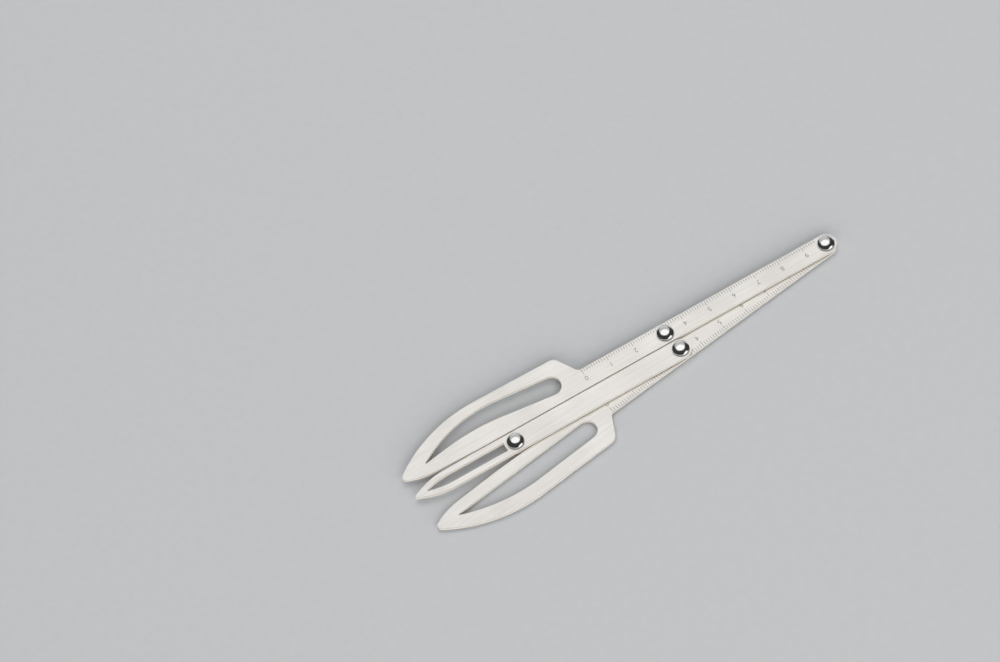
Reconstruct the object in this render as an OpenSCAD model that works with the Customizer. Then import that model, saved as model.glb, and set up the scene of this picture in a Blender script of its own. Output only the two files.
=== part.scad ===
// Golden ratio caliper: two long arms, a middle arm and a hidden link form a parallelogram linkage.
// However far it is opened, the middle point divides the span of the outer points in the golden ratio.
// Origin: on the apex pivot's axis, in the plane that the pins' flat heads rest on.
// +X runs along the bisector of the closed long arms, +Z points up through the domed caps.

/* [Long arms] */
// Distance from the apex pivot to the point of each long arm
reach = 171.5; // [160:0.5:190]
// Width of the straight bars
arm_w = 7.7; // [7.2:0.1:9]
// Thickness of each plate
plate_t = 1; // [0.8:0.1:2.5]
// Gap left between the two top bars in the closed pose
closed_gap = 0.4; // [0.3:0.1:3]
// Radius of the long arms' points
point_r = 1.5; // [0.8:0.1:2]
// Distance past the reach at which the sharp point's edges would meet
point_run = 1.2; // [1:0.1:1.5]
// Length ground off each sharp point to blunt it
blunting = 0.3; // [0:0.1:1]

/* [Blades] */
// Distance from the apex pivot to the foot of the blade's shoulder
shoulder_x = 99.2; // [92:0.1:104]
// Slope of the shoulder
shoulder_slope = 61; // [45:1:75]
// Fillet at the foot of the shoulder
foot_r = 1.8; // [0.5:0.1:3]
// Rounding at the top of the shoulder
crown_r = 3.2; // [0.5:0.1:4]
// Height of the blade's outer edge above the arm's centreline at the shoulder
blade_h = 12.6; // [11:0.1:16]
// Rise of the outer edge from the shoulder to the start of its curve
blade_rise = 0.6; // [0:0.1:1.5]
// Radius of the outer edge's curve towards the point
blade_curve_r = 56; // [40:1:70]
// Distance from the point back to the corner that the outer curve rounds
blade_corner = 16.4; // [14:0.1:20]
// Inset of the inner edge where its curve towards the point starts
heel_inset = 0.7; // [0.2:0.1:1]
// Distance from the point back to where the inner edge leaves the straight
heel_start = 29; // [24:0.5:34]
// Distance from the point back to where the inner edge turns up to it
heel_turn = 6.8; // [5:0.1:9]
// Radius where the inner edge leaves the straight
heel_start_r = 60; // [40:1:80]
// Radius of the inner edge's curve towards the point
heel_curve_r = 26; // [15:1:30]

/* [Windows] */
// Wall between the foot of the shoulder and the window's round end
window_wall = 6.9; // [5:0.1:12]
// Height of the window's round end above the arm's centreline
window_h = 7.1; // [5:0.1:7.6]
// Metal left between the window's sharp end and the arm's point
window_tip_wall = 9; // [7:0.5:14]
// Height of the window's sharp end above the arm's centreline
window_tip_h = 0.9; // [0.5:0.1:1.5]
// Radius of the window's sharp end
window_tip_r = 0.25; // [0.1:0.05:0.5]
// Drop of the upper arm's window floor below the centreline at its round end
wing_drop = 0.6; // [0:0.1:1]
// Lean of the wing's round end towards the point
wing_lean = 0.9; // [0:0.1:1.5]
// Bow of the upper arm's window floor at its middle
wing_bow = 4.1; // [2:0.1:4.6]
// Distance from the point back to the middle of that bow
wing_bow_back = 30; // [26:0.5:36]
// Radius of that bow
wing_bow_r = 80; // [50:1:90]
// Height of the upper arm's wing-shaped window at its crest
wing_crest = 10.9; // [9:0.1:11]
// Distance from the point back to the wing's crest
wing_crest_back = 27.5; // [25:0.5:30]
// Radius of the wing's crest
wing_crest_r = 48; // [35:1:60]
// Height of the lower arm's window at its crest
bowl_crest = 8.3; // [7.5:0.1:9]
// Distance from the point back to the corner that the bowl's arch rounds
bowl_crest_back = 23.4; // [20:0.1:27]
// Distance that the bowl's sharp end lies nearer the point than the wing's
bowl_run = 0.7; // [0.5:0.1:1]
// Radius of the bowl's arch
bowl_crest_r = 70; // [40:1:80]

/* [Middle arm] */
// Radius of the middle arm's point
needle_r = 0.6; // [0.4:0.1:1]
// Half angle of the middle arm's point
needle_half_angle = 23.5; // [18:0.5:30]
// Radius of the curve into the middle arm's point
needle_curve_r = 28; // [15:1:32]
// Width of the slot
slot_w = 3.3; // [2:0.1:3.6]
// Wall between the far pivot's axis and the slot's square end
slot_wall = 3.9; // [3:0.1:6]
// Metal left between the slot's sharp end and the middle arm's point
slot_tip_wall = 5.2; // [4:0.1:8]
// Half angle of the slot's sharp end
slot_half_angle = 14; // [10:1:20]
// Radius of the slot's sharp end
slot_end_r = 0.3; // [0.1:0.1:0.6]
// Radius of the curve into the slot's sharp end
slot_curve_r = 25; // [15:1:32]
// Radius in the slot's square corners
slot_corner_r = 0.2; // [0.1:0.1:0.6]

/* [Pivots] */
// Extra distance from the apex pivot to the upper pivot, and from the lower pivot to the far pivot
upper_extra = 0.8; // [0:0.1:2]
// Diameter of the pins' shanks
shank_d = 3; // [2:0.1:3.5]
// Diameter of the domed caps and of the pins' flat heads
cap_d = 6.1; // [5:0.1:7.2]
// Height of the cap's straight band
band_h = 0.4; // [0.3:0.1:1]
// Height of the cap's dome above the band
dome_h = 1; // [0.8:0.1:2]
// Height of the pins' flat heads
head_h = 0.9; // [0.6:0.1:1.5]
// Chamfer round the pins' flat heads
head_chamfer = 0.25; // [0.1:0.05:0.4]
// Thickness of the friction spacer between the plates
spacer_t = 0.15; // [0.1:0.05:0.6]
// Diameter of the friction spacer
spacer_d = 6; // [5:0.1:7]
// Thickness of the washer under each cap
washer_t = 0.2; // [0.1:0.05:0.5]
// Diameter of the washer under each cap
washer_d = 5.6; // [5:0.1:7]
// Length of each shank inside its cap
shank_bite = 0.9; // [0.6:0.1:1]
// Running clearance round each shank, on the radius
pivot_fit = 0.05; // [0.02:0.01:0.1]
// Clearance round each shank where it doesn't turn, on the radius
seat_fit = 0.02; // [0.01:0.01:0.05]
// End play above and below each turning plate
end_play = 0.02; // [0.01:0.01:0.05]

/* [Hidden] */
$fn = 96;

// Golden ratio, and the lengths that it sets
phi = (1 + sqrt(5)) / 2;
side = reach * (1 - 1 / phi);
needle_reach = reach / phi;

// The division stays exact wherever the upper pivot lies, because the far pivot lies as far along the middle arm
upper_side = side + upper_extra;

// Closed pose: the bars lie side by side with closed_gap between them
half_w = arm_w / 2;
closed_angle = asin((arm_w + closed_gap) / side);
lower_dir = closed_angle / 2;
upper_dir = -closed_angle / 2;

// Pivot centres
apex = [0, 0];
lower_joint = side * [cos(lower_dir), sin(lower_dir)];
upper_joint = upper_side * [cos(upper_dir), sin(upper_dir)];
far_joint = lower_joint + upper_joint;

// Levels of the stack, from the table up
lower_z = head_h;
spacer_z = lower_z + plate_t;
upper_z = spacer_z + spacer_t + end_play;
washer_z = upper_z + plate_t + end_play;
cap_z = washer_z + washer_t;
shank_top = cap_z + shank_bite;

// Blade corners, measured along the arm from the apex pivot
point_corner_x = reach + point_run - blunting;
crown_x = shoulder_x + (blade_h - half_w) / tan(shoulder_slope);
window_x = shoulder_x + window_wall;
wing_end_x = reach - window_tip_wall;
bowl_end_x = wing_end_x + bowl_run;
window_round_r = window_h / 2;

// Middle arm corners, measured along it from the lower joint
needle_apex_x = needle_reach - blunting + needle_r * (1 / sin(needle_half_angle) - 1);
needle_corner_x = needle_apex_x - half_w / tan(needle_half_angle);
slot_x = upper_side + slot_wall;
slot_apex_x = needle_reach - slot_tip_wall + slot_end_r * (1 / sin(slot_half_angle) - 1);
slot_corner_x = slot_apex_x - slot_w / 2 / tan(slot_half_angle);

// Largest distance between a rounded corner's chords and its true arc
arc_sag = 0.004;

function unit(v) = v / norm(v);

function flat(corner) = [corner.x, corner.y];

// Angle inside corner i of a closed outline of corners [x, y, radius]
function inner_angle(corners, i) =
    let (
        n = len(corners),
        p = flat(corners[i]),
        to_last = unit(flat(corners[(i + n - 1) % n]) - p),
        to_next = unit(flat(corners[(i + 1) % n]) - p)
    )
    acos(to_last * to_next);

// Length of each neighbouring edge that a corner's rounding takes
function edge_use(corners, i) = corners[i].z / tan(inner_angle(corners, i) / 2);

// Share of its radius that a corner can have, so that two roundings on one edge never cross
function radius_share(corners, i) =
    let (
        n = len(corners),
        last = (i + n - 1) % n,
        next = (i + 1) % n,
        here = edge_use(corners, i),
        edge_before = norm(flat(corners[i]) - flat(corners[last])),
        edge_after = norm(flat(corners[i]) - flat(corners[next]))
    )
    min(1, 0.999 * edge_before / (here + edge_use(corners, last)), 0.999 * edge_after / (here + edge_use(corners, next)));

// Points of the arc that rounds corner i
function corner_arc(corners, i) =
    let (
        n = len(corners),
        p = flat(corners[i]),
        to_last = unit(flat(corners[(i + n - 1) % n]) - p),
        to_next = unit(flat(corners[(i + 1) % n]) - p),
        inner = inner_angle(corners, i),
        r = corners[i].z * radius_share(corners, i),
        centre = p + unit(to_last + to_next) * r / sin(inner / 2),
        from = p + to_last * r / tan(inner / 2) - centre,
        start = atan2(from.y, from.x),
        turn = cross(to_last, to_next) < 0 ? 180 - inner : inner - 180,
        steps = ceil(abs(turn) / (2 * acos(1 - arc_sag / r)))
    )
    [for (k = [0:steps]) centre + r * [cos(start + turn * k / steps), sin(start + turn * k / steps)]];

// Closed outline with every corner rounded to its radius
function rounded(corners) = [for (i = [0:len(corners) - 1]) each corner_arc(corners, i)];

// Outline shared by both long arms, with the outer edge towards +Y
function long_arm_corners() = [
    [-half_w, -half_w, half_w],
    [reach - heel_start, -half_w, heel_start_r],
    [reach - heel_turn, -half_w + heel_inset, heel_curve_r],
    [point_corner_x, 0, point_r],
    [reach - blade_corner, blade_h + blade_rise, blade_curve_r],
    [crown_x, blade_h, crown_r],
    [shoulder_x, half_w, foot_r],
    [-half_w, half_w, half_w]
];

// Window of the upper arm: a wing whose floor and crest both arch outwards
function wing_window_corners() = [
    [window_x, -wing_drop, window_round_r + wing_drop / 2],
    [reach - wing_bow_back, wing_bow, wing_bow_r],
    [wing_end_x, window_tip_h, window_tip_r],
    [reach - wing_crest_back, wing_crest, wing_crest_r],
    [window_x + wing_lean, window_h, window_round_r + wing_drop / 2]
];

// Window of the lower arm: a straight floor under a single arch
function bowl_window_corners() = [
    [window_x, 0, window_round_r],
    [bowl_end_x, window_tip_h, window_tip_r],
    [reach - bowl_crest_back, bowl_crest, bowl_crest_r],
    [window_x, window_h, window_round_r]
];

// Middle arm from its pivot on the lower arm to its point
function middle_arm_corners() = [
    [-half_w, -half_w, half_w],
    [needle_corner_x, -half_w, needle_curve_r],
    [needle_apex_x, 0, needle_r],
    [needle_corner_x, half_w, needle_curve_r],
    [-half_w, half_w, half_w]
];

// Slot of the middle arm, square at the pivot and pointed towards the tip
function slot_corners() = [
    [slot_x, -slot_w / 2, slot_corner_r],
    [slot_corner_x, -slot_w / 2, slot_curve_r],
    [slot_apex_x, 0, slot_end_r],
    [slot_corner_x, slot_w / 2, slot_curve_r],
    [slot_x, slot_w / 2, slot_corner_r]
];

// Strap from the upper joint to the far joint
function link_corners() = [
    [-half_w, -half_w, half_w],
    [side + half_w, -half_w, half_w],
    [side + half_w, half_w, half_w],
    [-half_w, half_w, half_w]
];

module pivot_hole(x, fit) {
    translate([x, 0])
        circle(d = shank_d + 2 * fit);
}

module plate(corners) {
    linear_extrude(plate_t)
        difference() {
            polygon(rounded(corners));
            children();
        }
}

module lower_arm() {
    color("gainsboro")
        translate([0, 0, lower_z])
            rotate(lower_dir)
                plate(long_arm_corners()) {
                    polygon(rounded(bowl_window_corners()));
                    pivot_hole(0, seat_fit);
                    pivot_hole(side, seat_fit);
                }
}

module upper_arm() {
    color("gainsboro")
        translate([0, 0, upper_z])
            rotate(upper_dir)
                mirror([0, 1, 0])
                    plate(long_arm_corners()) {
                        polygon(rounded(wing_window_corners()));
                        pivot_hole(0, pivot_fit);
                        pivot_hole(upper_side, pivot_fit);
                    }
}

module middle_arm() {
    color("gainsboro")
        translate([lower_joint.x, lower_joint.y, upper_z])
            rotate(upper_dir)
                plate(middle_arm_corners()) {
                    polygon(rounded(slot_corners()));
                    pivot_hole(0, pivot_fit);
                    pivot_hole(upper_side, pivot_fit);
                }
}

module short_link() {
    color("gainsboro")
        translate([upper_joint.x, upper_joint.y, lower_z])
            rotate(lower_dir)
                plate(link_corners()) {
                    pivot_hole(0, seat_fit);
                    pivot_hole(side, seat_fit);
                }
}

// Pin with a flat head below the lower plate and a shank up into the cap
module pin(at) {
    color("silver")
        translate([at.x, at.y, 0]) {
            cylinder(h = head_chamfer, d1 = cap_d - 2 * head_chamfer, d2 = cap_d);
            translate([0, 0, head_chamfer])
                cylinder(h = head_h - head_chamfer, d = cap_d);
            cylinder(h = shank_top, d = shank_d);
        }
}

module ring(at, z, outer_d, h) {
    translate([at.x, at.y, z])
        linear_extrude(h)
            difference() {
                circle(d = outer_d);
                circle(d = shank_d + 2 * seat_fit);
            }
}

module spacer(at) {
    color("ivory")
        ring(at, spacer_z, spacer_d, spacer_t);
}

module washer(at) {
    color("silver")
        ring(at, washer_z, washer_d, washer_t);
}

// Polished cap: a straight band topped by part of a sphere, bored from below for the shank
module cap(at) {
    dome_r = (cap_d * cap_d / 4 + dome_h * dome_h) / (2 * dome_h);
    color("whitesmoke")
        translate([at.x, at.y, cap_z])
            difference() {
                intersection() {
                    cylinder(h = band_h + dome_h + 1, d = cap_d);
                    translate([0, 0, band_h + dome_h - dome_r])
                        sphere(r = dome_r);
                }
                translate([0, 0, -1])
                    cylinder(h = shank_top - cap_z + seat_fit + 1, d = shank_d + 2 * seat_fit);
            }
}

module apex_pin() { pin(apex); }
module apex_spacer() { spacer(apex); }
module apex_washer() { washer(apex); }
module apex_cap() { cap(apex); }

module upper_pin() { pin(upper_joint); }
module upper_spacer() { spacer(upper_joint); }
module upper_washer() { washer(upper_joint); }
module upper_cap() { cap(upper_joint); }

module lower_pin() { pin(lower_joint); }
module lower_spacer() { spacer(lower_joint); }
module lower_washer() { washer(lower_joint); }
module lower_cap() { cap(lower_joint); }

module far_pin() { pin(far_joint); }
module far_spacer() { spacer(far_joint); }
module far_washer() { washer(far_joint); }
module far_cap() { cap(far_joint); }

lower_arm();
upper_arm();
middle_arm();
short_link();
apex_pin();
apex_spacer();
apex_washer();
apex_cap();
upper_pin();
upper_spacer();
upper_washer();
upper_cap();
lower_pin();
lower_spacer();
lower_washer();
lower_cap();
far_pin();
far_spacer();
far_washer();
far_cap();
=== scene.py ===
import math

import bmesh
import bpy
from mathutils import Matrix, Vector


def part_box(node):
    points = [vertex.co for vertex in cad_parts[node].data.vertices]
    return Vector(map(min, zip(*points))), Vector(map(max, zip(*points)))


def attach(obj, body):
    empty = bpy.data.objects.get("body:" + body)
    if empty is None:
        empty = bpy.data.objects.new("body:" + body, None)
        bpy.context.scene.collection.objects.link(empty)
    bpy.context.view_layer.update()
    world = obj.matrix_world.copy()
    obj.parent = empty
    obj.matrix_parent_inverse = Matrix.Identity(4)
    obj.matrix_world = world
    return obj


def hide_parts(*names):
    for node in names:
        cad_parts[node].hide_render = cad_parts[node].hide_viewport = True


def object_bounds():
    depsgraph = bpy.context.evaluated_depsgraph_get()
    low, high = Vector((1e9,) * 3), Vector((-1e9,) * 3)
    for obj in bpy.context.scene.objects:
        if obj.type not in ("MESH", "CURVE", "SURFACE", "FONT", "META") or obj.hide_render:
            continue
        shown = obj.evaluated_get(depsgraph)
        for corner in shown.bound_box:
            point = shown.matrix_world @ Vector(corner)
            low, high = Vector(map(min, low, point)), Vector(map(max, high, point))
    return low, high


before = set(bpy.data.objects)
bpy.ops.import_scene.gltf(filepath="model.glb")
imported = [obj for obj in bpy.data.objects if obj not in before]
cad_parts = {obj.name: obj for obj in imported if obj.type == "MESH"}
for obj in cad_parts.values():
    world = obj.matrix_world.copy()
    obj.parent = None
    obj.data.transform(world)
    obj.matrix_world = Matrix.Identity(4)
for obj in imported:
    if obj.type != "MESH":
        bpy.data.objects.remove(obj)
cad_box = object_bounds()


def mm(value):
    """A size in millimetres, in the metres that the scene is built in."""
    return value / 1000


# Sizes shared with the CAD source
REACH = mm(171.5)
ARM_WIDTH = mm(7.7)
CLOSED_GAP = mm(0.4)
CAP_BAND = mm(0.4)
GOLDEN = (1 + math.sqrt(5)) / 2
SIDE = REACH * (1 - 1 / GOLDEN)
CLOSED_ANGLE = math.asin((ARM_WIDTH + CLOSED_GAP) / SIDE)

# Direction of each plate's length in the closed pose
PLATE_ANGLE = {
    "lower_arm": CLOSED_ANGLE / 2,
    "short_link": CLOSED_ANGLE / 2,
    "upper_arm": -CLOSED_ANGLE / 2,
    "middle_arm": -CLOSED_ANGLE / 2,
}

# Body that each pivot's cap rides on
CAP_BODY = {
    "apex": "lower_arm",
    "upper": "short_link",
    "lower": "lower_arm",
    "far": "short_link",
}

part_centre = (cad_box[0] + cad_box[1]) / 2
FLOOR_CENTRE = Vector((part_centre.x, part_centre.y, 0))


# Shader nodes
# Sockets of a Mix node that mixes colours
MIX_FACTOR, MIX_A, MIX_B = 0, 6, 7
MIX_RESULT = 2

# A noise texture's values lie round its middle, most of them within the spread
NOISE_MIDDLE = 0.5
NOISE_SPREAD = 0.2


def node_material(name):
    material = bpy.data.materials.new(name)
    material.use_nodes = True
    tree = material.node_tree
    shader = tree.nodes["Principled BSDF"]
    return material, tree, shader


def add(tree, kind, inputs=None, **settings):
    made = tree.nodes.new(kind)
    for key, value in settings.items():
        setattr(made, key, value)
    for key, value in (inputs or {}).items():
        made.inputs[key].default_value = value
    return made


def ranged(tree, value, low, high, to_low, to_high):
    made = add(
        tree,
        "ShaderNodeMapRange",
        {"From Min": low, "From Max": high, "To Min": to_low, "To Max": to_high},
    )
    tree.links.new(value, made.inputs["Value"])
    return made.outputs["Result"]


def from_noise(tree, noise, to_low, to_high, spread=NOISE_SPREAD):
    """Value that runs from one end to the other with a noise texture."""
    return ranged(tree, noise, NOISE_MIDDLE - spread, NOISE_MIDDLE + spread, to_low, to_high)


def tinted(tree, shader, noise, low_colour, high_colour):
    """Gives the shader a colour that runs from one tone to the other with a noise texture."""
    tone = add(tree, "ShaderNodeMix", data_type="RGBA", blend_type="MIX")
    tone.inputs[MIX_A].default_value = (*low_colour, 1)
    tone.inputs[MIX_B].default_value = (*high_colour, 1)
    tree.links.new(from_noise(tree, noise, 0, 1), tone.inputs[MIX_FACTOR])
    tree.links.new(tone.outputs[MIX_RESULT], shader.inputs["Base Color"])


def uneven(tree, shader, height, strength, distance):
    """Gives the shader a bump that follows a height."""
    bump = add(tree, "ShaderNodeBump", {"Strength": strength, "Distance": distance})
    tree.links.new(height, bump.inputs["Height"])
    tree.links.new(bump.outputs["Normal"], shader.inputs["Normal"])


def noise_over(tree, coordinates, scale, detail):
    noise = add(tree, "ShaderNodeTexNoise", {"Scale": scale, "Detail": detail})
    tree.links.new(coordinates, noise.inputs["Vector"])
    return noise.outputs["Fac"]


def streaks(tree, coordinates, angle, length, width, seed):
    """Noise drawn out along a direction in the plate, with streaks of that length and width."""
    rotated = add(tree, "ShaderNodeMapping", {"Rotation": (0, 0, -angle)}, vector_type="POINT")
    stretched = add(
        tree,
        "ShaderNodeMapping",
        {"Scale": (1 / length, 1 / width, 1 / width), "Location": (seed, 0, 0)},
        vector_type="POINT",
    )
    noise = add(tree, "ShaderNodeTexNoise", {"Scale": 1.0, "Detail": 3.0, "Roughness": 0.6})
    tree.links.new(coordinates, rotated.inputs["Vector"])
    tree.links.new(rotated.outputs["Vector"], stretched.inputs["Vector"])
    tree.links.new(stretched.outputs["Vector"], noise.inputs["Vector"])
    return noise.outputs["Fac"]


# Brushed steel of the plates
DARK_STREAK = (0.74, 0.715, 0.68)
LIGHT_STREAK = (0.83, 0.81, 0.78)
STREAK_ROUGHNESS = (0.38, 0.5)
CLOUD_ROUGHNESS = (0.0, 0.05)
CLOUD_SCALE = 70.0
BROAD_SHARE = 0.35
BRUSHING_STRENGTH = 0.35
BRUSHING_DEPTH = mm(0.01)
ANISOTROPY = 0.55


def brushed_steel(name, angle):
    """Stainless sheet brushed along its length."""
    material, tree, shader = node_material(name)
    place = add(tree, "ShaderNodeTexCoord").outputs["Object"]
    fine = streaks(tree, place, angle, length=mm(9), width=mm(0.09), seed=1.7)
    broad = streaks(tree, place, angle, length=mm(26), width=mm(0.5), seed=5.2)
    cloud = noise_over(tree, place, CLOUD_SCALE, detail=3.0)
    tinted(tree, shader, broad, DARK_STREAK, LIGHT_STREAK)

    roughness = add(tree, "ShaderNodeMath", operation="ADD")
    streaky = from_noise(tree, fine, *STREAK_ROUGHNESS, spread=0.25)
    tree.links.new(streaky, roughness.inputs[0])
    tree.links.new(from_noise(tree, cloud, *CLOUD_ROUGHNESS), roughness.inputs[1])
    tree.links.new(roughness.outputs[0], shader.inputs["Roughness"])

    height = add(tree, "ShaderNodeMath", {1: BROAD_SHARE}, operation="MULTIPLY_ADD")
    tree.links.new(broad, height.inputs[0])
    tree.links.new(fine, height.inputs[2])
    uneven(tree, shader, height.outputs[0], BRUSHING_STRENGTH, BRUSHING_DEPTH)

    grain = add(tree, "ShaderNodeCombineXYZ", {"X": math.cos(angle), "Y": math.sin(angle)})
    world_grain = add(
        tree,
        "ShaderNodeVectorTransform",
        vector_type="VECTOR",
        convert_from="OBJECT",
        convert_to="WORLD",
    )
    tree.links.new(grain.outputs["Vector"], world_grain.inputs["Vector"])
    tree.links.new(world_grain.outputs["Vector"], shader.inputs["Tangent"])
    shader.inputs["Metallic"].default_value = 1.0
    shader.inputs["Anisotropic"].default_value = ANISOTROPY
    return material


# Buffed steel of the caps and washers
HAZE_SCALE = 2500.0
HAZE_ROUGHNESS_SHARES = (0.6, 1.6)
HAZE_STRENGTH = 0.04
HAZE_DEPTH = mm(0.002)


def polished_steel(name, colour, roughness):
    """Buffed steel with faint haze."""
    material, tree, shader = node_material(name)
    place = add(tree, "ShaderNodeTexCoord").outputs["Object"]
    haze = noise_over(tree, place, HAZE_SCALE, detail=4.0)
    clear, hazy = HAZE_ROUGHNESS_SHARES
    gloss = from_noise(tree, haze, roughness * clear, roughness * hazy)
    tree.links.new(gloss, shader.inputs["Roughness"])
    uneven(tree, shader, haze, HAZE_STRENGTH, HAZE_DEPTH)
    shader.inputs["Base Color"].default_value = (*colour, 1)
    shader.inputs["Metallic"].default_value = 1.0
    return material


# Dull surfaces
SPECKLE_ROUGHNESS = 0.05
SPECKLE_STRENGTH = 0.1
SPECKLE_DEPTH_SHARE = 0.25


def speckled(name, low_colour, high_colour, roughness, grain, metallic=0.0):
    """Dull surface whose colour and roughness vary a little at the scale of its grain."""
    material, tree, shader = node_material(name)
    place = add(tree, "ShaderNodeTexCoord").outputs["Object"]
    speckle = noise_over(tree, place, 1 / grain, detail=4.0)
    tinted(tree, shader, speckle, low_colour, high_colour)
    rough = from_noise(tree, speckle, roughness - SPECKLE_ROUGHNESS, roughness + SPECKLE_ROUGHNESS)
    tree.links.new(rough, shader.inputs["Roughness"])
    uneven(tree, shader, speckle, SPECKLE_STRENGTH, grain * SPECKLE_DEPTH_SHARE)
    shader.inputs["Metallic"].default_value = metallic
    return material


plate_steel = {node: brushed_steel(node + "_brushed", angle) for node, angle in PLATE_ANGLE.items()}
cap_steel = polished_steel("cap_polished", (0.66, 0.66, 0.65), roughness=0.1)
washer_steel = polished_steel("washer_polished", (0.82, 0.81, 0.79), roughness=0.16)
pin_steel = speckled(
    "pin_turned",
    low_colour=(0.66, 0.65, 0.63),
    high_colour=(0.74, 0.73, 0.71),
    roughness=0.3,
    grain=mm(0.4),
    metallic=1.0,
)
nylon = speckled(
    "spacer_nylon",
    low_colour=(0.80, 0.77, 0.68),
    high_colour=(0.86, 0.83, 0.75),
    roughness=0.45,
    grain=mm(0.5),
)
# Cut walls: dull cut steel, painted a light warm tan that stands partly for a painted warm reflection
# and painted light on the walls
cut_walls_with_painted_reflection = speckled(
    "plate_cut_edge_painted_reflection",
    low_colour=(0.86, 0.79, 0.69),
    high_colour=(0.92, 0.86, 0.77),
    roughness=0.6,
    grain=mm(0.3),
    metallic=0.1,
)
etched = speckled(
    "scale_etched",
    low_colour=(0.10, 0.10, 0.10),
    high_colour=(0.16, 0.155, 0.15),
    roughness=0.6,
    grain=mm(0.2),
)
floor_paint = speckled(
    "floor_paint",
    low_colour=(0.66, 0.675, 0.69),
    high_colour=(0.68, 0.695, 0.71),
    roughness=0.7,
    grain=mm(3),
)


# Pieces
def repaint(node, material):
    """Gives a CAD piece that stays in view its material."""
    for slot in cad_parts[node].material_slots:
        slot.material = material


def new_piece(name, shape, material, smooth_below):
    """Object made from a bmesh, which it frees. Edges that turn by more than the angle stay sharp."""
    for face in shape.faces:
        face.smooth = True
    mesh = bpy.data.meshes.new(name)
    shape.to_mesh(mesh)
    shape.free()
    mesh.set_sharp_from_angle(angle=math.radians(smooth_below))
    mesh.materials.append(material)
    piece = bpy.data.objects.new(name, mesh)
    bpy.context.scene.collection.objects.link(piece)
    return piece


# Plates: the outline of each CAD plate, with finely deburred edges and dull cut walls, whose light
# tan colour is partly painted warm reflection
DEBURR = mm(0.08)
WELD = mm(0.0005)
LEVEL_NORMAL_Z = 0.99
WALL_NORMAL_Z = 0.2
SHORTEST_MITRE = 0.5


def outlines(mesh):
    """Closed loops of points round the flat top of a plate, each with the metal on its left."""
    shape = bmesh.new()
    shape.from_mesh(mesh)
    bmesh.ops.remove_doubles(shape, verts=shape.verts, dist=WELD)
    following = {}
    for face in shape.faces:
        if face.normal.z < LEVEL_NORMAL_Z:
            continue
        for corner in face.loops:
            if corner.link_loop_radial_next.face.normal.z < LEVEL_NORMAL_Z:
                following[corner.vert] = corner.link_loop_next.vert
    loops = []
    while following:
        first, here = following.popitem()
        points = [first.co.xy]
        while here is not first:
            points.append(here.co.xy)
            here = following.pop(here)
        loops.append(points)
    shape.free()
    return loops


def moved_in(points, distance):
    """Loop moved sideways into the metal."""
    moved = []
    for before, here, after in zip(points[-1:] + points[:-1], points, points[1:] + points[:1]):
        arriving = (here - before).normalized()
        leaving = (after - here).normalized()
        inwards = Vector((-arriving.y - leaving.y, arriving.x + leaving.x)).normalized()
        mitre = max(SHORTEST_MITRE, inwards.dot(Vector((-arriving.y, arriving.x))))
        moved.append(here + inwards * distance / mitre)
    return moved


def rim_edges(shape, ring):
    return [shape.edges.get((ring[k - 1], ring[k])) for k in range(len(ring))]


def deburred(node):
    """Replaces a CAD plate by the same plate with rounded edges."""
    low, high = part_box(node)
    rounding = DEBURR * (1 - math.sqrt(0.5))
    levels = [
        (DEBURR, low.z),
        (rounding, low.z + rounding),
        (0, low.z + DEBURR),
        (0, high.z - DEBURR),
        (rounding, high.z - rounding),
        (DEBURR, high.z),
    ]
    shape = bmesh.new()
    bottom, top = [], []
    for points in outlines(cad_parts[node].data):
        rings = [
            [shape.verts.new((x, y, height)) for x, y in moved_in(points, inset)]
            for inset, height in levels
        ]
        for below, above in zip(rings, rings[1:]):
            for k in range(len(points)):
                shape.faces.new((below[k - 1], below[k], above[k], above[k - 1]))
        bottom += rim_edges(shape, rings[0])
        top += rim_edges(shape, rings[-1])
    for rim, facing in ((bottom, (0, 0, -1)), (top, (0, 0, 1))):
        bmesh.ops.triangle_fill(shape, use_beauty=True, edges=rim, normal=facing)
    bmesh.ops.recalc_face_normals(shape, faces=shape.faces)
    for face in shape.faces:
        face.normal_update()
        face.material_index = 1 if abs(face.normal.z) < WALL_NORMAL_Z else 0
    piece = new_piece(node + "_plate", shape, plate_steel[node], smooth_below=18)
    piece.data.materials.append(cut_walls_with_painted_reflection)
    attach(piece, node)
    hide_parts(node)


for node in PLATE_ANGLE:
    deburred(node)


# Caps: turned profiles with a rounded foot
SEGMENTS = 96
ON_AXIS = mm(0.001)
FOOT = mm(0.25)
RIM_EASE = mm(0.04)
RIM_EASE_ANGLE = 0.8


def turned(name, profile, centre, material):
    """Solid of revolution about the vertical axis through centre, from (radius, height) points."""
    shape = bmesh.new()
    angles = [2 * math.pi * k / SEGMENTS for k in range(SEGMENTS)]
    rings = []
    for radius, height in profile:
        if radius < ON_AXIS:
            rings.append([shape.verts.new((centre.x, centre.y, height))])
            continue
        ring = []
        for angle in angles:
            x = centre.x + radius * math.cos(angle)
            y = centre.y + radius * math.sin(angle)
            ring.append(shape.verts.new((x, y, height)))
        rings.append(ring)
    for below, above in zip(rings, rings[1:]):
        for k in range(SEGMENTS):
            following = (k + 1) % SEGMENTS
            if len(below) == 1:
                shape.faces.new((below[0], above[following], above[k]))
            elif len(above) == 1:
                shape.faces.new((below[k], below[following], above[0]))
            else:
                shape.faces.new((below[k], below[following], above[following], above[k]))
    bmesh.ops.recalc_face_normals(shape, faces=shape.faces)
    return new_piece(name, shape, material, smooth_below=50)


def arc(centre, radius, start, end, steps):
    """Points of a circle arc in a profile, angles in degrees from the outward direction."""
    angles = [math.radians(start + (end - start) * k / steps) for k in range(steps + 1)]
    return [(centre[0] + radius * math.cos(a), centre[1] + radius * math.sin(a)) for a in angles]


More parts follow.
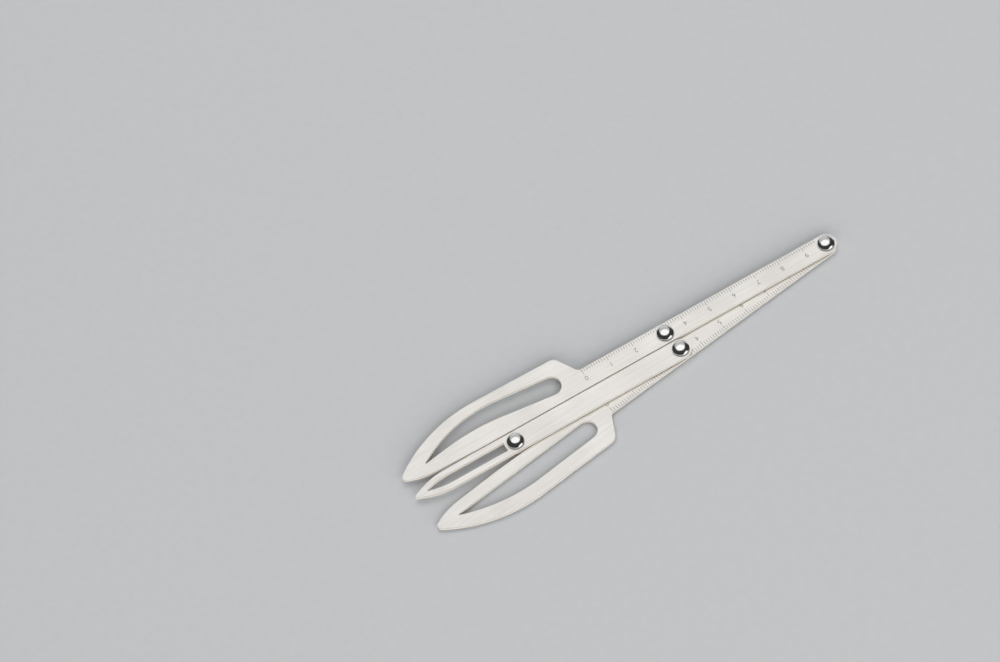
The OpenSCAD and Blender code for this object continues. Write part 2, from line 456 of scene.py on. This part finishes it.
def cap_profile(low, high, radius):
    """Short straight band with a rounded foot, under part of a sphere."""
    dome = high - low - CAP_BAND
    sphere = (radius * radius + dome * dome) / (2 * dome)
    rim = math.degrees(math.asin((sphere - dome) / sphere))
    points = [(0, low), (radius - FOOT, low)]
    points += arc((radius - FOOT, low + FOOT), FOOT, start=-70, end=0, steps=5)
    points += [(radius, low + CAP_BAND - RIM_EASE)]
    points += arc((0, high - sphere), sphere, start=rim + RIM_EASE_ANGLE, end=88, steps=26)
    points += [(0, high)]
    return points


def dress_pivot(joint, body):
    """Replaces a pivot's CAD cap and gives its other pieces their materials."""
    low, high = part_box(joint + "_cap")
    middle = (low + high) / 2
    profile = cap_profile(low.z, high.z, (high.x - low.x) / 2)
    cap = turned(joint + "_dome", profile, middle, cap_steel)
    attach(cap, body)
    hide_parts(joint + "_cap")
    repaint(joint + "_washer", washer_steel)
    repaint(joint + "_pin", pin_steel)
    repaint(joint + "_spacer", nylon)


for joint, body in CAP_BODY.items():
    dress_pivot(joint, body)


# Ruled edges: millimetre marks and numerals on both long arms, measured from the zero mark
# towards the apex pivot and inwards from the ruled edge
SCALE_ZERO = mm(98.3)
LAST_MARK = 95
MARKS_PER_NUMERAL = 10
MARK_WIDTH = mm(0.15)
MARK_START = mm(0.3)
SHORT_MARK_END = mm(1.5)
LONG_MARK_END = mm(2.2)
NUMERALS = range(10)
NUMERAL_SIZE = mm(2.65)
NUMERAL_DEPTH = mm(4.0)
NUMERAL_THINNING = mm(0.035)
INK = mm(0.006)

# A cap hides this numeral on one arm, and a plate hides it on the other
COVERED_NUMERAL = 3


def add_box(shape, corners, low, high):
    below = [shape.verts.new((x, y, low)) for x, y in corners]
    above = [shape.verts.new((x, y, high)) for x, y in corners]
    shape.faces.new(below[::-1])
    shape.faces.new(above)
    for k in range(4):
        following = (k + 1) % 4
        shape.faces.new((below[k], below[following], above[following], above[k]))


def numeral_mesh(text):
    """Flat numeral centred on the origin."""
    curve = bpy.data.curves.new("numeral", "FONT")
    curve.body = text
    curve.size = NUMERAL_SIZE
    curve.align_x = "CENTER"
    curve.align_y = "CENTER"
    curve.extrude = INK / 2
    curve.offset = -NUMERAL_THINNING
    curve.resolution_u = 4
    holder = bpy.data.objects.new("numeral", curve)
    bpy.context.scene.collection.objects.link(holder)
    bpy.context.view_layer.update()
    evaluated = holder.evaluated_get(bpy.context.evaluated_depsgraph_get())
    mesh = bpy.data.meshes.new_from_object(evaluated)
    bpy.data.objects.remove(holder)
    bpy.data.curves.remove(curve)
    return mesh


def scale(node, outward):
    """Marks and numerals of one arm. outward is +1 where the ruled edge is on the plate's +Y side."""
    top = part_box(node)[1].z
    edge = ARM_WIDTH / 2
    half = MARK_WIDTH / 2
    shape = bmesh.new()
    for count in range(LAST_MARK + 1):
        x = SCALE_ZERO - mm(count)
        reach_in = SHORT_MARK_END if count % MARKS_PER_NUMERAL else LONG_MARK_END
        low_y, high_y = sorted((outward * (edge - MARK_START), outward * (edge - reach_in)))
        corners = [(x - half, low_y), (x + half, low_y), (x + half, high_y), (x - half, high_y)]
        add_box(shape, corners, top - INK, top + INK / 2)
    for number in NUMERALS:
        if number == COVERED_NUMERAL:
            continue
        glyph = numeral_mesh(str(number))
        x = SCALE_ZERO - mm(MARKS_PER_NUMERAL * number)
        glyph.transform(Matrix.Translation((x, outward * (edge - NUMERAL_DEPTH), top)))
        shape.from_mesh(glyph)
        bpy.data.meshes.remove(glyph)
    turn = Matrix.Rotation(PLATE_ANGLE[node], 4, "Z")
    bmesh.ops.transform(shape, matrix=turn, verts=shape.verts)
    piece = new_piece(node + "_scale", shape, etched, smooth_below=20)
    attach(piece, node)


scale("upper_arm", -1)
scale("lower_arm", 1)


# Floor: a wide pale disc whose rim sweeps up a little
FLOOR_INNER_RING = 0.5
FLOOR_RADIUS = 3.0
FLOOR_SWEEP = 0.5


def floor_profile():
    points = [(0, 0), (FLOOR_INNER_RING, 0), (FLOOR_RADIUS, 0)]
    for angle in range(10, 70, 10):
        out = FLOOR_SWEEP * math.sin(math.radians(angle))
        up = FLOOR_SWEEP * (1 - math.cos(math.radians(angle)))
        points.append((FLOOR_RADIUS + out, up))
    return points


floor = turned("floor", floor_profile(), FLOOR_CENTRE, floor_paint)


# Lights: a tall softbox with a brighter core, which the caps show as a patch, a strip lamp that
# they show as a streak, and a fill for the dull surfaces, which the metal doesn't mirror
SOFTBOX_AZIMUTH = math.radians(-24.5)
LAMP_DISTANCE = 2.0


def towards(azimuth, elevation):
    flat = math.cos(elevation)
    return Vector((math.sin(azimuth) * flat, -math.cos(azimuth) * flat, math.sin(elevation)))


def area_light(name, azimuth, elevation, width, height, power):
    """Oval lamp that faces the caliper."""
    data = bpy.data.lights.new(name, "AREA")
    data.shape = "ELLIPSE"
    data.size = width
    data.size_y = height
    data.energy = power
    lamp = bpy.data.objects.new(name, data)
    bpy.context.scene.collection.objects.link(lamp)
    away = towards(azimuth, elevation)
    lamp.location = FLOOR_CENTRE + away * LAMP_DISTANCE
    lamp.rotation_euler = (-away).to_track_quat("-Z", "Y").to_euler()
    return lamp


area_light(
    "softbox",
    azimuth=SOFTBOX_AZIMUTH,
    elevation=math.radians(51),
    width=2.6,
    height=3.7,
    power=15.2,
)
area_light(
    "softbox_core",
    azimuth=SOFTBOX_AZIMUTH,
    elevation=math.radians(70),
    width=2.4,
    height=2,
    power=8.8,
)
area_light(
    "strip_lamp",
    azimuth=math.radians(202),
    elevation=math.radians(46),
    width=1.9,
    height=0.55,
    power=4.6,
)
fill_lamp = area_light(
    "fill_lamp",
    azimuth=math.radians(155),
    elevation=math.radians(28),
    width=3.2,
    height=1.6,
    power=18,
)
fill_lamp.visible_glossy = False


# World: pale walls, and a dim ceiling round the softbox
CEILING_GLOW = 0.05
WALL_GLOW = 1.1
WALL_TOP = 0.22
WALL_TOP_BLUR = 0.06
CEILING_ELEVATION = math.radians(60)
CEILING_EDGE = math.cos(math.radians(76))
CEILING_EDGE_BLUR = 0.1


def studio_world():
    world = bpy.data.worlds.new("studio")
    world.use_nodes = True
    tree = world.node_tree
    place = add(tree, "ShaderNodeTexCoord").outputs["Generated"]
    parts = add(tree, "ShaderNodeSeparateXYZ")
    tree.links.new(place, parts.inputs["Vector"])
    low = ranged(tree, parts.outputs["Z"], WALL_TOP - WALL_TOP_BLUR, WALL_TOP, 1, 0)
    ceiling = add(
        tree,
        "ShaderNodeVectorMath",
        {1: towards(SOFTBOX_AZIMUTH, CEILING_ELEVATION)},
        operation="DOT_PRODUCT",
    )
    tree.links.new(place, ceiling.inputs[0])
    nearness = ceiling.outputs["Value"]
    beyond = ranged(tree, nearness, CEILING_EDGE - CEILING_EDGE_BLUR, CEILING_EDGE, 1, 0)
    wall = add(tree, "ShaderNodeMath", operation="MAXIMUM")
    tree.links.new(low, wall.inputs[0])
    tree.links.new(beyond, wall.inputs[1])
    background = tree.nodes["Background"]
    strength = ranged(tree, wall.outputs[0], 0, 1, CEILING_GLOW, WALL_GLOW)
    tree.links.new(strength, background.inputs["Strength"])
    background.inputs["Color"].default_value = (1, 1, 1, 1)
    return world


bpy.context.scene.world = studio_world()


# Camera: the photograph's angle and lens
CAMERA_AIM = Vector((mm(111.699), mm(-39.487), mm(2.602)))
CAMERA_DISTANCE = mm(961.84)
CAMERA_ELEVATION = math.radians(59.763)
CAMERA_AZIMUTH = math.radians(155.359)
CAMERA_ROLL = math.radians(-10.444)
LENS_MM = 99.26
SENSOR_WIDTH_MM = 36
NEAREST_VIEW = mm(10)


def photo_camera():
    data = bpy.data.cameras.new("camera")
    data.sensor_width = SENSOR_WIDTH_MM
    data.lens = LENS_MM
    data.clip_start = NEAREST_VIEW
    camera = bpy.data.objects.new("camera", data)
    bpy.context.scene.collection.objects.link(camera)
    back = towards(CAMERA_AZIMUTH, CAMERA_ELEVATION)
    level_right = (-back).cross(Vector((0, 0, 1))).normalized()
    level_up = level_right.cross(-back)
    right = level_right * math.cos(CAMERA_ROLL) + level_up * math.sin(CAMERA_ROLL)
    up = level_up * math.cos(CAMERA_ROLL) - level_right * math.sin(CAMERA_ROLL)
    turn = Matrix((right, up, back)).transposed().to_4x4()
    camera.matrix_world = Matrix.Translation(CAMERA_AIM + back * CAMERA_DISTANCE) @ turn
    return camera


bpy.context.scene.camera = photo_camera()

bpy.context.scene.view_settings.view_transform = "Standard"

bpy.context.view_layer.update()
